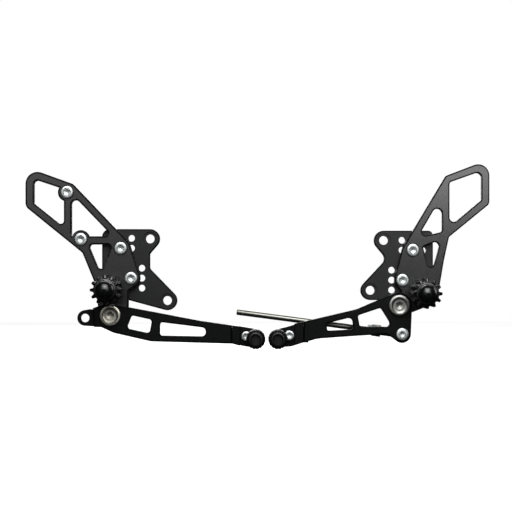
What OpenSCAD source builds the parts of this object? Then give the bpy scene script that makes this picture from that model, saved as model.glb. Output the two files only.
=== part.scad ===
// Pair of motorbike rear sets: brake half on the left, shift half on the right, both seen from outside.
// Each half is drawn about the midpoint of its two frame bolts. Depth y = 0 is the face against the frame,
// and everything stands out from it towards -Y.

/* [Set] */
// Gap between the toe pegs of the two halves, as they lie side by side
halves_gap = 2.8; // [1:0.1:80]
// Height of the shift frame bolts over the brake frame bolts
set_rise = 4.4; // [0:0.1:8]

/* [Plates] */
// Thickness of the frame plates
frame_plate_t = 10; // [8:0.5:12]
// Thickness of the side plates
side_plate_t = 10; // [9:0.5:12]
// Width of the plate round each heel guard bolt, as a radius
guard_boss_r = 9.4; // [8.5:0.1:10]

/* [Frame bolts] */
// Distance between the two frame bolts of the brake half
brake_frame_pitch = 65.6; // [62:0.1:70]
// Distance between the two frame bolts of the shift half
shift_frame_pitch = 53; // [50:0.1:56]
// Diameter of the frame bolt holes
frame_hole_d = 9; // [8.4:0.1:10]
// Diameter of the spot face round each frame bolt hole
frame_face_d = 14.6; // [12:0.1:16]
// Depth of that spot face
frame_face_deep = 2; // [0.5:0.5:4]
// Radius of the plate round each frame bolt hole
frame_boss_r = 10; // [9:0.1:11]

/* [Position holes] */
// Distance between position holes, across
grid_across = 10.6; // [9:0.1:11]
// Distance between position holes, up
grid_up = 10.2; // [9:0.1:11]
// Diameter of the empty tapped holes
tapped_d = 6.8; // [6:0.1:7]

/* [Bolts] */
// Shank diameter of the cap screws in the plates
screw_d = 8; // [7.5:0.1:8.2]
// Head diameter of those cap screws
screw_head_d = 12.8; // [12:0.1:13]
// Head height of those cap screws
screw_head_h = 8; // [6:0.1:8]
// Width across the flats of their sockets
screw_key = 6; // [5:0.5:6]
// Depth of the counterbore that a head sits in
counterbore_deep = 4.5; // [3:0.5:6]
// Distance between the two master cylinder bolts
cylinder_pitch = 50; // [49:0.1:51]
// How far the master cylinder bolts stand out behind the side plate
cylinder_stud = 14; // [10:0.5:20]

/* [Pivots] */
// Shoulder diameter of the lever pivot bolts
shoulder_d = 12; // [10:0.5:13]
// Outer diameter of the bushes pressed in the levers
bush_d = 16; // [15:0.5:18]
// Head diameter of the pivot bolts
pivot_head_d = 21.4; // [19:0.2:21.6]
// Head height of the pivot bolts
pivot_head_h = 5; // [4:0.5:7]
// Thickness of the thrust washers behind the levers
washer_t = 1; // [0.8:0.1:1.5]

/* [Levers] */
// Thickness of the levers
lever_t = 12; // [10:0.5:14]
// Thickness of the brake lever's arm to the master cylinder
arm_t = 6; // [5:0.5:7]
// Diameter of the hole in the brake lever's arm
arm_hole_d = 8.6; // [8:0.1:9]
// Radius of the lever round each pivot
hub_r = 13; // [12:0.5:14]
// Thickness of the toe pieces at the levers' ends
toe_piece_t = 6; // [5:0.5:7]
// How deep the toe pieces are stepped down round the toe peg
toe_step = 1.5; // [0.5:0.5:2]

/* [Foot pegs] */
// Diameter over the teeth of the foot pegs
peg_d = 30; // [26:0.5:31]
// Length of the foot pegs
peg_l = 85; // [75:1:95]
// Number of teeth round the foot pegs
peg_teeth = 12; // [10:1:14]
// Depth of the teeth
tooth_deep = 3.2; // [2:0.1:3.5]
// Diameter of the domed end
dome_d = 18.4; // [14:0.2:20]
// Shortest length of one ring of teeth with its groove
tooth_pitch = 7.6; // [7:0.1:10]
// Width of the groove between two rings
groove_w = 2.6; // [2:0.1:3.5]

/* [Toe pegs] */
// Diameter of the toe pegs
toe_d = 19.6; // [18:0.2:20]
// Length of the toe pegs' wide part
toe_l = 28; // [24:0.5:34]
// Length of the neck behind it
toe_neck = 6.4; // [6.4:0.1:8]
// Number of flutes round the toe pegs
toe_flutes = 16; // [12:1:20]

/* [Shift rod] */
// Diameter of the shift rod
rod_d = 6; // [5.8:0.1:6.2]
// Distance from the rod end bolt to the rod's free end
rod_reach = 169.5; // [150:0.5:170]
// Slope of the rod down to its rod end
rod_slope = 7.5; // [6:0.1:9]
// Diameter of the rod end's ball
ball_d = 12.7; // [12:0.1:13]
// Width of the rod end's ball
ball_w = 9; // [8.4:0.1:10]
// Width of the rod end's eye
eye_w = 7; // [6:0.1:7.4]
// Thickness of the spacer between the lever and that ball
spacer_t = 3; // [3:0.1:4]

/* [Hidden] */

// Facets of a full circle, and the turn between two points of a rounded corner
$fn = 96;
arc_turn = 12;

// Running gap each side of a shoulder, side gap of a lever, and gap of a bolt in its clearance hole
run_gap = 0.03;
side_gap = 0.1;
hole_gap = 0.2;
thread_gap = 0.05;
seam_gap = 0.15;
// How far a cutter runs past the face it cuts, and the shortest edge kept in an outline
over = 1;
short_edge = 0.15;

// Depths of the faces, counted from the face against the frame
side_back = -frame_plate_t;
side_front = side_back - side_plate_t;
lever_back = side_front - washer_t - side_gap;
lever_front = lever_back - lever_t;
head_under = lever_front - side_gap;
screw_seat = side_front + counterbore_deep;
tongue_front = lever_front + toe_piece_t;
toe_seat = lever_front + toe_step;

// Core diameter of the threads that sit in tapped holes
screw_core_d = tapped_d - 2 * thread_gap;

// Two ends of a bolt pair about its middle, at an angle above +X
function pair(pitch, a) = [pitch / 2 * dir(a), -pitch / 2 * dir(a)];
// Unit vector at an angle from +X towards +Z
function dir(a) = [cos(a), sin(a)];
function unit(v) = v / norm(v);
// Angle brought between -180 and 180
function wrap(a) = a > 180 ? wrap(a - 360) : a < -180 ? wrap(a + 360) : a;
// Round of an outline about c, from the outward normal at angle n1 clockwise to the one at n2
function boss(c, r, n1, n2) = [c[0], c[1], r, n1, n2];
function is_boss(q) = len(q) == 5;
// Where an outline reaches a corner or a round, and where it leaves it
function start(q) = is_boss(q) ? [q[0], q[1]] + q[2] * dir(q[3]) : [q[0], q[1]];
function end(q) = is_boss(q) ? [q[0], q[1]] + q[2] * dir(q[4]) : [q[0], q[1]];
// Same place, moved by an offset
function by(p, dx, dz) = [p[0] + dx, p[1] + dz];
// Points of the arc of radius r about m, from angle a0 over the given turn
function arc(m, r, a0, turn) =
    let (n = max(1, ceil(abs(turn) / arc_turn)))
    [for (i = [0:n]) m + r * dir(a0 + turn * i / n)];
// Points of one rounded corner b, between its neighbours a and c
function corner(a, b, c) =
    let (
        p = [b[0], b[1]],
        u = unit(end(a) - p),
        v = unit(start(c) - p),
        half = acos(max(-1, min(1, u * v))) / 2,
        m = p + unit(u + v) * b[2] / sin(half),
        s = p + u * b[2] / tan(half) - m,
        e = p + v * b[2] / tan(half) - m,
        a0 = atan2(s[1], s[0])
    )
    is_boss(b) ? arc(p, b[2], b[3], b[4] - b[3])
    : b[2] == 0 ? [p]
    : arc(m, b[2], a0, wrap(atan2(e[1], e[0]) - a0));
// Outline from corners given as [x, z, radius] and from rounds, without its shortest edges
function rounded(c) =
    let (
        n = len(c),
        p = [for (i = [0:n - 1]) each corner(c[(i + n - 1) % n], c[i], c[(i + 1) % n])]
    )
    [for (i = [0:len(p) - 1]) if (norm(p[(i + 1) % len(p)] - p[i]) > short_edge) p[i]];

module outline(c) {
    polygon(rounded(c));
}

// Flat shape drawn in x and z, from depth y0 out to depth y1
module slab(y0, y1) {
    translate([0, y0, 0])
        rotate([90, 0, 0])
            linear_extrude(y0 - y1)
                children();
}

// Round bar or bore along Y about p, from depth y0 out to depth y1
module bar(p, y0, y1, d) {
    translate([p[0], y0, p[1]])
        rotate([90, 0, 0])
            cylinder(h = y0 - y1, d = d);
}

// Cone along Y about p
module taper(p, y0, y1, d0, d1) {
    translate([p[0], y0, p[1]])
        rotate([90, 0, 0])
            cylinder(h = y0 - y1, d1 = d0, d2 = d1);
}

// Hexagonal bar along Y about p, by its width across the flats
module hex_bar(p, y0, y1, across) {
    translate([p[0], y0, p[1]])
        rotate([90, 0, 0])
            cylinder(h = y0 - y1, d = across / cos(30), $fn = 6);
}

// Solid of revolution about the Y axis through p. Its profile is given as [radius, distance out from y0]
module turned(p, y0, profile) {
    translate([p[0], y0, p[1]])
        rotate([90, 0, 0])
            rotate_extrude()
                polygon(profile);
}

// Cap screw with its seat at depth seat, plain shank to depth plain_end, thread core to depth tip
module cap_screw(p, seat, head_d, head_h, key, shank_d, plain_end, core_d, tip) {
    edge = head_d / 16;
    difference() {
        union() {
            turned(p, seat, [
                [0, 0], [head_d / 2, 0], [head_d / 2, head_h - edge],
                [head_d / 2 - edge, head_h], [0, head_h]
            ]);
            bar(p, plain_end, seat - 0.5, shank_d);
            bar(p, tip, plain_end - 0.5, core_d);
        }
        hex_bar(p, seat - head_h * 0.4, seat - head_h - over, key);
        taper(p, seat - head_h + key * 0.12, seat - head_h - over, key, key * 1.12 + 2 * over);
    }
}

/* Places on the brake half, about its frame bolts */
brake_frame_holes = pair(brake_frame_pitch, 105.7);
brake_low_bolt = [-27.9, -8.6];
brake_high_bolt = by(brake_low_bolt, -grid_across, 3 * grid_up);
brake_guard_mid = [-86.2, 55.1];
brake_guard_bolts = [for (p = pair(cylinder_pitch, 106.4)) brake_guard_mid + p];
brake_pivot = [-48.3, -46.4];
brake_peg = [-50.2, -19.7];
brake_arm_eye = [-74.2, -49];
brake_seam = 75.3;
brake_step = brake_seam + 8.1;
brake_clamp = [brake_seam + 14.4, -67.4];
brake_toe = [brake_seam + 24, -69.7];

/* Places on the shift half, about its frame bolts */
shift_frame_holes = pair(shift_frame_pitch, 75);
shift_low_bolt = [25.6, -15];
shift_high_bolt = by(shift_low_bolt, grid_across, 3 * grid_up);
shift_pivot = [21.5, -40.5];
shift_peg = [46, -27.8];
shift_rod_bolt = [24.4, -69.7];
shift_seam = -75.6;
shift_step = shift_seam - 9.1;
shift_clamp = [shift_seam - 14.4, -70.9];
shift_toe = [shift_seam - 26.2, -74.1];

// Distance across from the brake frame bolts to the shift frame bolts, which follows both levers
set_across = brake_toe[0] - shift_toe[0] + toe_d + halves_gap;

/* Other sizes of the small parts */
position_boss_r = 9.4;
counterbore_d = screw_head_d + 1.4;
lug_r = 12;
// Waist of the master cylinder bolts in the plate, and where it ends behind the plate
cylinder_waist_d = screw_d - 0.4;
cylinder_relief = 0.8;
peg_core_d = peg_d - 2 * tooth_deep;
peg_thread_l = 18;
// Plain collar of a foot peg, long enough to keep its teeth in front of the lever
collar_l = lever_t + washer_t + 1;
dome_l = 8;
dome_neck = 2;
peg_ring_room = peg_l - collar_l - dome_l - dome_neck;
peg_rings = floor(peg_ring_room / tooth_pitch);
ring_l = peg_ring_room / peg_rings;
// Half width of a flute at the tips of the teeth
flute_half = PI * peg_d / peg_teeth / 2 - 0.6;
clamp_d = 6;
clamp_head_d = 10;
clamp_head_h = 5.6;
clamp_key = 5;
clamp_core_d = 5;
tongue_r = 7.5;
toe_boss_r = 9.6;
toe_neck_d = 9;
arm_eye_r = 8;
rod_boss_r = 9;
rod_bolt_head_d = 12.6;
rod_bolt_head_h = 5;
rod_nut_across = 10;
rod_nut_t = 5;
rod_end_r = 9;
rod_shank_d = 11;
rod_shank_l = 30;
rod_in = 12;
ball_back = lever_back + spacer_t + ball_w;
rod_y = ball_back - ball_w / 2;
black = "#1b1c1c";
dark = "#141516";
silver = "#c9cbcc";
steel = "#9a9a94";

// Spare holes round a position bolt at c, given as steps across and up
function spare_holes(c, steps) = [for (q = steps) by(c, q[0] * grid_across, q[1] * grid_up)];
brake_spares = concat(
    spare_holes(brake_low_bolt, [[1, 1], [1, 0], [1, -1]]),
    spare_holes(brake_high_bolt, [[1, 1], [1, 0]])
);
shift_spares = concat(
    spare_holes(shift_low_bolt, [[-1, 1], [-1, 0], [-1, -1]]),
    spare_holes(shift_high_bolt, [[-1, 1], [-1, 0], [1, 0]])
);

// Frame plate with its spot faced frame holes and the tapped holes for its bolts, used and spare
module frame_plate(shape, holes, tapped) {
    color(dark)
        difference() {
            slab(0, side_back) outline(shape);
            for (p = holes) {
                bar(p, over, side_back - over, frame_hole_d);
                bar(p, side_back + frame_face_deep, side_back - over, frame_face_d);
            }
            for (p = tapped) bar(p, over, side_back - over, tapped_d);
        }
}

// Bores of a side plate: position bolts, pivot thread and foot peg screw
module side_plate_bores(bolts, pivot, peg) {
    for (p = bolts) {
        bar(p, side_back + over, side_front - over, screw_d + 2 * hole_gap);
        bar(p, screw_seat, side_front - over, counterbore_d);
    }
    bar(pivot, side_back + over, side_front - over, pivot_thread_d + 2 * thread_gap);
    bar(peg, side_back + over, side_front - over, screw_d + 2 * hole_gap);
    bar(peg, side_back + over, side_back - counterbore_deep - side_gap, counterbore_d);
}

module position_bolts(bolts) {
    color(silver)
        for (p = bolts)
            cap_screw(p, screw_seat, screw_head_d, screw_head_h, screw_key,
                screw_d, side_back - side_gap, screw_core_d, -side_gap);
}

// Foot peg: a turned bar with rings of teeth and a domed end, its flutes cut lengthwise
module foot_peg(p) {
    r = peg_d / 2;
    core = peg_core_d / 2;
    rim = ring_l - groove_w;
    dome_r = dome_d / 2;
    end_l = peg_l - dome_l - dome_neck;
    color(dark)
        difference() {
            turned(p, side_front, concat(
                [[0, 0], [core + 1, 0], [core + 1, collar_l - 1], [core, collar_l]],
                [for (i = [0:peg_rings - 1], q = [[core, 0.01], [r, 0.8], [r, rim - 0.8], [core, rim]])
                    [q[0], collar_l + i * ring_l + q[1]]],
                [[core, end_l - 1], [core - 1, end_l], [dome_r, end_l]],
                [for (a = [0:10:80]) [dome_r * cos(a), peg_l - dome_l + dome_l * sin(a)]],
                [[0, peg_l]]
            ));
            for (i = [0:peg_teeth - 1])
                translate([p[0], side_front - collar_l + 0.5, p[1]])
                    rotate([90, (i + 0.5) * 360 / peg_teeth, 0])
                        linear_extrude(peg_rings * ring_l)
                            polygon([
                                [core - 0.2, -0.9], [core - 0.2, 0.9],
                                [r + over, flute_half], [r + over, -flute_half]
                            ]);
            bar(p, side_front + over, side_front - peg_thread_l - 2, tapped_d);
        }
}

// Screw that holds a foot peg from behind the side plate, its head sunk in the plate
module foot_peg_screw(p) {
    head_back = side_back - side_gap;
    seat = side_back - counterbore_deep - side_gap;
    color(silver)
        difference() {
            union() {
                bar(p, head_back, seat, screw_head_d);
                bar(p, seat + 0.5, side_front, screw_d);
                bar(p, side_front + 0.5, side_front - peg_thread_l, screw_core_d);
            }
            hex_bar(p, side_back + over, side_back - counterbore_deep * 0.6, screw_key);
        }
}

// Shouldered pivot bolt with a dished head and a hexagon socket
pivot_thread_d = 10;
module pivot_bolt(p) {
    r = pivot_head_d / 2;
    h = pivot_head_h;
    color(silver)
        difference() {
            union() {
                turned(p, head_under, [
                    [0, 0], [r, 0], [r, h - 1.2], [r - 1.2, h], [r - 2.4, h],
                    [r - 3.2, h - 1], [shoulder_d / 2 - 0.5, h - 1.6], [0, h - 1.6]
                ]);
                bar(p, side_front, head_under - 0.5, shoulder_d);
                bar(p, side_back + 2, side_front - 0.5, pivot_thread_d);
            }
            hex_bar(p, head_under + 3, head_under - h - over, 8);
        }
}

module pivot_washer(p) {
    color(steel)
        difference() {
            bar(p, side_front, side_front - washer_t, bush_d + 6);
            bar(p, side_front + over, side_front - washer_t - over, shoulder_d + 2 * hole_gap);
        }
}

module pivot_bush(p) {
    color("#a8824a")
        difference() {
            bar(p, lever_back, lever_front, bush_d);
            bar(p, lever_back + over, lever_front - over, shoulder_d + 2 * run_gap);
        }
}

// Toe piece bolted over the lever's tongue, stepped down round the toe peg
module toe_piece(shape, block, clamp, toe) {
    color(black)
        difference() {
            union() {
                slab(tongue_front, toe_seat) outline(shape);
                slab(tongue_front, lever_front) outline(block);
            }
            bar(clamp, tongue_front + over, lever_front - over, clamp_d + 2 * hole_gap);
            bar(toe, tongue_front + over, lever_front - over, clamp_d + 2 * hole_gap);
            taper(toe, tongue_front + 0.01, tongue_front - 3.2, clamp_d * 2 + 0.5, clamp_d + 2 * hole_gap);
        }
}

module toe_piece_bolt(p) {
    color(silver)
        cap_screw(p, toe_seat, clamp_head_d, clamp_head_h, clamp_key,
            clamp_d, tongue_front - side_gap, clamp_core_d - 2 * thread_gap, lever_back - side_gap);
}

// Countersunk screw that holds a toe peg from behind
module toe_peg_screw(p) {
    color(steel)
        difference() {
            union() {
                taper(p, tongue_front - side_gap, tongue_front - side_gap - 3, clamp_d * 2, clamp_d);
                bar(p, tongue_front - 2, toe_seat, clamp_d);
                bar(p, tongue_front - 3, toe_seat - toe_thread_l, clamp_core_d - 2 * thread_gap);
            }
            hex_bar(p, tongue_front + over, tongue_front - 2, 4);
        }
}
toe_thread_l = 14;

// Fluted toe peg on a narrow neck, with ring grooves and a bevelled end
module toe_peg(p) {
    r = toe_d / 2;
    s = toe_neck;
    color(dark)
        difference() {
            turned(p, toe_seat, concat(
                [[0, 0], [toe_neck_d / 2, 0], [toe_neck_d / 2, s], [r - 1.5, s], [r, s + 1.5]],
                [for (i = [1:3], q = [[r, -0.9], [r - 1.2, 0], [r, 0.9]]) [q[0], s + i * toe_l / 4 + q[1]]],
                [[r, s + toe_l - 3], [r - 3, s + toe_l], [5.2, s + toe_l], [4.6, s + toe_l - 5], [0, s + toe_l - 5]]
            ));
            for (i = [0:toe_flutes - 1])
                rotate_about(p, i * 360 / toe_flutes)
                    translate([r + 0.5, toe_seat - s - over / 2, 0])
                        rotate([90, 0, 0])
                            cylinder(h = toe_l - 2, r = 1.2, $fn = 4);
            bar(p, toe_seat + over, toe_seat - toe_thread_l - 1, clamp_core_d);
        }
}

// Children turned about the axis through p along Y
module rotate_about(p, a) {
    translate([p[0], 0, p[1]])
        rotate([0, a, 0])
            children();
}

/* Outlines of the brake half */
brake_side_shape = [
    [-135.7, 105.1, 12.2], [-86.9, 87.5, 6], [-29.5, 27.3, 4],
    boss(brake_low_bolt, position_boss_r, 17, -61.5), [-30.4, -21.4, 2],
    [-30.6, -55, 7], boss(brake_pivot, lug_r, -75, -173.6),
    [-65, -13.5, 12], [-77.6, 17.3, 5], [-135.7, 64.4, 8]
];
brake_guard_windows = [
    [[-126.7, 92.2, 3.6], [-96.5, 82.1, 1], [-96.5, 43.6, 3.1], [-126.7, 67.8, 3]],
    [[-88.5, 77.3, 4.4], [-47, 34.2, 3.4], [-88.5, 34.2, 1]],
    [[-71.2, 25.7, 3], [-47.8, 25.7, 3], [-58.3, -5.2, 3.5]]
];
brake_frame_shape = [
    [-58.1, 41.7, 8], boss(brake_frame_holes[0], frame_boss_r, 90, -45), [-9, 16.2, 3],
    [-9, 1.2, 4], boss(brake_frame_holes[1], frame_boss_r, 47.5, -105.1),
    [-47.9, -26.6, 6], [-58.1, -2.3, 6]
];
brake_lever_shape = [
    [-66.1, -38.9, 0], [-55, -35, 4], [-29.5, -38.1, 20], [42.8, -51.7, 40], [brake_seam - seam_gap, -56.4, 0],
    [brake_seam - seam_gap, -75, 0], [42.8, -74.1, 40], [-7, -72.7, 12], [-44.9, -64, 12],
    [-57.5, -58.2, 3], [-65, -58, 0]
];
brake_arm_shape = [
    boss(brake_arm_eye, arm_eye_r, 270, 105),
    [-69.3, -40, 3], [-62.5, -40.5, 0], [-62.5, -57, 0], [-66, -57.5, 1]
];
brake_lever_windows = [
    [[-26.8, -46.2, 3], [-5.9, -50.8, 3], [-8.7, -64.4, 3], [-31.8, -59.4, 3]],
    [[2.2, -53, 2.5], [48.5, -59, 4.1], [48.5, -67.6, 4.1], [1.8, -66.7, 2.5]]
];
brake_toe_shape = [
    [brake_seam, -56.4, 0], [brake_seam + 12.2, -58, 3], boss(brake_toe, toe_boss_r, 70, -105),
    [brake_seam + 13.2, -77.7, 4], [brake_seam, -75, 0]
];
brake_block_shape = [
    [brake_seam, -56.4, 0], [brake_step, -57.45, 0], [brake_step, -76.6, 0], [brake_seam, -75, 0]
];
brake_tongue_shape = [
    [brake_seam - 5, brake_clamp[1] + tongue_r, 0], boss(brake_clamp, tongue_r, 90, -90),
    [brake_seam - 5, brake_clamp[1] - tongue_r, 0]
];

/* Outlines of the shift half */
shift_side_shape = [
    [25.3, 17.5, 8], [69.5, 91.4, 4], [114.3, 108.5, 11.5], [114.3, 62.7, 6], [73.1, 29, 3],
    [68, 5.5, 12], [60.5, -38, 6], boss(shift_pivot, lug_r, -70, -250),
    [25.5, -27.5, 1.5],
    boss(shift_low_bolt, position_boss_r - 0.8, -135, -194)
];
shift_guard_windows = [
    [[73.6, 84.7, 3], [105.9, 96.2, 4.5], [105.9, 66.6, 2.5], [73.6, 39.4, 4.5]],
    [[65.8, 70.8, 4.8], [65.8, 34.2, 3], [41.3, 28.6, 4.1]],
    [[46.5, 19.2, 2.5], [64.5, 26.2, 4], [54.4, -13, 3.8]]
];
shift_frame_shape = [
    boss(shift_frame_holes[0], frame_boss_r, 221.7, 90), [57.4, 35.6, 5], [57.4, -12, 6], [32, -35.6, 6],
    boss(shift_frame_holes[1], frame_boss_r, -90, -224.6), [9.6, 6.7, 7]
];
shift_lever_shape = [
    [shift_seam + seam_gap, -57, 0], [-22.4, -44.6, 25], boss(shift_pivot, hub_r, 111.8, -2.6),
    boss(shift_rod_bolt, rod_boss_r, -2.6, -130), [9, -69.5, 6], [-20, -71.3, 30], [-61, -74.2, 25],
    [shift_seam + seam_gap, -78.2, 0]
];
shift_lever_windows = [
    [[-20.6, -50.8, 2.5], [2.7, -43, 3], [12.6, -59, 3.5], [9.5, -62.2, 2], [-18.4, -62.2, 2]],
    [[-52.2, -58.9, 1.5], [-25.7, -52.2, 4.5], [-25.4, -65.1, 1.5], [-51.5, -66.4, 2]]
];
shift_toe_shape = [
    [shift_seam, -78.2, 0], [shift_seam - 12.6, -82.2, 5], boss(shift_toe, toe_boss_r, -105, -240),
    [shift_seam - 15.1, -61.8, 4], [shift_seam, -57, 0]
];
shift_block_shape = [
    [shift_seam, -78.2, 0], [shift_step, -81.09, 0], [shift_step, -59.11, 0], [shift_seam, -57, 0]
];
shift_tongue_shape = [
    [shift_seam + 5, shift_clamp[1] + tongue_r + 1, 0], [shift_seam + 5, shift_clamp[1] - tongue_r, 0],
    boss(shift_clamp, tongue_r, -90, -270)
];

module brake_frame_plate() {
    frame_plate(brake_frame_shape, brake_frame_holes, concat([brake_low_bolt, brake_high_bolt], brake_spares));
}

module brake_side_plate() {
    color(black)
        difference() {
            union() {
                slab(side_back, side_front)
                    difference() {
                        outline(brake_side_shape);
                        for (w = brake_guard_windows) outline(w);
                    }
                for (p = brake_guard_bolts) bar(p, side_back, side_front, 2 * guard_boss_r);
            }
            side_plate_bores([brake_low_bolt, brake_high_bolt], brake_pivot, brake_peg);
            for (p = brake_guard_bolts) {
                bar(p, side_back + over, side_front - over, screw_d + 2 * hole_gap);
                bar(p, screw_seat, side_front - over, counterbore_d);
            }
        }
}

module brake_position_bolts() {
    position_bolts([brake_low_bolt, brake_high_bolt]);
}

module brake_cylinder_bolts() {
    color(silver)
        for (p = brake_guard_bolts)
            cap_screw(p, screw_seat, screw_head_d, screw_head_h, screw_key,
                cylinder_waist_d, side_back + cylinder_relief, screw_d, side_back + cylinder_stud);
}

module brake_foot_peg() {
    foot_peg(brake_peg);
}

module brake_foot_peg_screw() {
    foot_peg_screw(brake_peg);
}

module brake_pivot_bolt() {
    pivot_bolt(brake_pivot);
}

module brake_pivot_washer() {
    pivot_washer(brake_pivot);
}

module brake_pivot_bush() {
    pivot_bush(brake_pivot);
}

module brake_lever() {
    color(black)
        difference() {
            union() {
                slab(lever_back, lever_front)
                    difference() {
                        outline(brake_lever_shape);
                        for (w = brake_lever_windows) outline(w);
                    }
                slab(lever_back, tongue_front + side_gap) outline(brake_tongue_shape);
                slab(lever_back, lever_back - arm_t) outline(brake_arm_shape);
            }
            bar(brake_arm_eye, lever_back + over, lever_front - over, arm_hole_d);
            bar(brake_pivot, lever_back + over, lever_front - over, bush_d);
            bar(brake_clamp, lever_back + over, lever_front - over, clamp_core_d);
        }
}

module brake_toe_piece() {
    toe_piece(brake_toe_shape, brake_block_shape, brake_clamp, brake_toe);
}

module brake_toe_piece_bolt() {
    toe_piece_bolt(brake_clamp);
}

module brake_toe_peg() {
    toe_peg(brake_toe);
}

module brake_toe_peg_screw() {
    toe_peg_screw(brake_toe);
}

module shift_half() {
    translate([set_across, 0, set_rise])
        children();
}

module shift_frame_plate() {
    shift_half()
        frame_plate(shift_frame_shape, shift_frame_holes, concat([shift_low_bolt, shift_high_bolt], shift_spares));
}

module shift_side_plate() {
    shift_half()
        color(black)
            difference() {
                slab(side_back, side_front)
                    difference() {
                        outline(shift_side_shape);
                        for (w = shift_guard_windows) outline(w);
                    }
                side_plate_bores([shift_low_bolt, shift_high_bolt], shift_pivot, shift_peg);
            }
}

module shift_position_bolts() {
    shift_half() position_bolts([shift_low_bolt, shift_high_bolt]);
}

module shift_foot_peg() {
    shift_half() foot_peg(shift_peg);
}

module shift_foot_peg_screw() {
    shift_half() foot_peg_screw(shift_peg);
}

module shift_pivot_bolt() {
    shift_half() pivot_bolt(shift_pivot);
}

module shift_pivot_washer() {
    shift_half() pivot_washer(shift_pivot);
}

module shift_pivot_bush() {
    shift_half() pivot_bush(shift_pivot);
}

module shift_lever() {
    shift_half()
        color(black)
            difference() {
                union() {
                    slab(lever_back, lever_front)
                        difference() {
                            outline(shift_lever_shape);
                            for (w = shift_lever_windows) outline(w);
                        }
                    slab(lever_back, tongue_front + side_gap) outline(shift_tongue_shape);
                }
                bar(shift_pivot, lever_back + over, lever_front - over, bush_d);
                bar(shift_rod_bolt, lever_back + over, lever_front - over, rod_d + hole_gap);
                bar(shift_clamp, lever_back + over, lever_front - over, clamp_core_d);
            }
}

module shift_toe_piece() {
    shift_half()
        toe_piece(shift_toe_shape, shift_block_shape, shift_clamp, shift_toe);
}

module shift_toe_piece_bolt() {
    shift_half() toe_piece_bolt(shift_clamp);
}

module shift_toe_peg() {
    shift_half() toe_peg(shift_toe);
}

module shift_toe_peg_screw() {
    shift_half() toe_peg_screw(shift_toe);
}

// Profile of a ball of radius r cut to width w, round a bore
function ball_profile(r, w, bore) =
    let (a = asin(w / 2 / r), n = 6)
    concat([[bore, -w / 2]], [for (i = [-n:n]) r * dir(a * i / n)], [[bore, w / 2]]);

// Bolt through the lever's lower arm and the rod end's ball
module shift_rod_end_bolt() {
    shift_half()
        color(silver)
            cap_screw(shift_rod_bolt, lever_front, rod_bolt_head_d, rod_bolt_head_h, clamp_key,
                rod_d - 2 * thread_gap, ball_back, rod_d - 4 * thread_gap, ball_back + rod_nut_t + 2);
}

module shift_rod_end_nut() {
    shift_half()
        color(silver)
            difference() {
                hex_bar(shift_rod_bolt, ball_back + rod_nut_t, ball_back, rod_nut_across);
                bar(shift_rod_bolt, ball_back + rod_nut_t + over, ball_back - over, rod_d);
            }
}

module shift_rod_end_spacer() {
    shift_half()
        color(steel)
            difference() {
                bar(shift_rod_bolt, lever_back + spacer_t, lever_back, rod_nut_across);
                bar(shift_rod_bolt, lever_back + spacer_t + over, lever_back - over, rod_d + hole_gap);
            }
}

module shift_rod_end_ball() {
    shift_half()
        color(silver)
            turned(shift_rod_bolt, rod_y, ball_profile(ball_d / 2, ball_w, rod_d / 2));
}

// Along the rod: x runs from the rod end's ball to the free end
module along_rod() {
    shift_half()
        translate([shift_rod_bolt[0], rod_y, shift_rod_bolt[1]])
            rotate([0, 180 + rod_slope, 0])
                children();
}

module shift_rod_end_body() {
    along_rod()
        color(steel)
            difference() {
                union() {
                    rotate([90, 0, 0]) cylinder(h = eye_w, r = rod_end_r, center = true);
                    rotate([0, 90, 0]) cylinder(h = rod_shank_l, d = rod_shank_d - 2);
                    translate([rod_shank_l - 9, 0, 0])
                        rotate([0, 90, 0])
                            cylinder(h = 9, d = rod_shank_d / cos(30), $fn = 6);
                }
                turned([0, 0], 0, ball_profile(ball_d / 2 + run_gap, eye_w + over, 0));
                translate([rod_shank_l - rod_in - 1, 0, 0])
                    rotate([0, 90, 0])
                        cylinder(h = rod_in + 2 * over, d = rod_d);
                for (s = [-1, 1])
                    translate([0, s * (eye_w / 2 + 5), 0])
                        cube([2 * rod_end_r, 10, 2 * rod_end_r], center = true);
            }
}

module shift_rod_nut() {
    along_rod()
        color(silver)
            translate([rod_shank_l + 0.05, 0, 0])
                difference() {
                    rotate([0, 90, 0]) cylinder(h = rod_nut_t, d = rod_nut_across / cos(30), $fn = 6);
                    translate([-over, 0, 0]) rotate([0, 90, 0]) cylinder(h = rod_nut_t + 2 * over, d = rod_d);
                }
}

module shift_rod() {
    rod_l = rod_reach - rod_shank_l + rod_in;
    r = rod_d / 2 - thread_gap;
    along_rod()
        color(steel)
            translate([rod_shank_l - rod_in, 0, 0])
                rotate([0, 90, 0])
                    rotate_extrude()
                        polygon([[0, 0], [r - 0.6, 0], [r, 0.6], [r, rod_l - 0.6], [r - 0.6, rod_l], [0, rod_l]]);
}

brake_frame_plate();
brake_side_plate();
brake_position_bolts();
brake_cylinder_bolts();
brake_foot_peg();
brake_foot_peg_screw();
brake_pivot_bolt();
brake_pivot_washer();
brake_pivot_bush();
brake_lever();
brake_toe_piece();
brake_toe_piece_bolt();
brake_toe_peg();
brake_toe_peg_screw();
shift_frame_plate();
shift_side_plate();
shift_position_bolts();
shift_foot_peg();
shift_foot_peg_screw();
shift_pivot_bolt();
shift_pivot_washer();
shift_pivot_bush();
shift_lever();
shift_toe_piece();
shift_toe_piece_bolt();
shift_toe_peg();
shift_toe_peg_screw();
shift_rod_end_bolt();
shift_rod_end_nut();
shift_rod_end_spacer();
shift_rod_end_ball();
shift_rod_end_body();
shift_rod_nut();
shift_rod();
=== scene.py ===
"""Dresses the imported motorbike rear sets: finishes, chamfers, turned screws, light and camera."""

import logging
import math
from dataclasses import dataclass, field
from enum import Enum
from typing import Callable, Sequence

import bpy
from mathutils import Matrix, Vector


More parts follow.
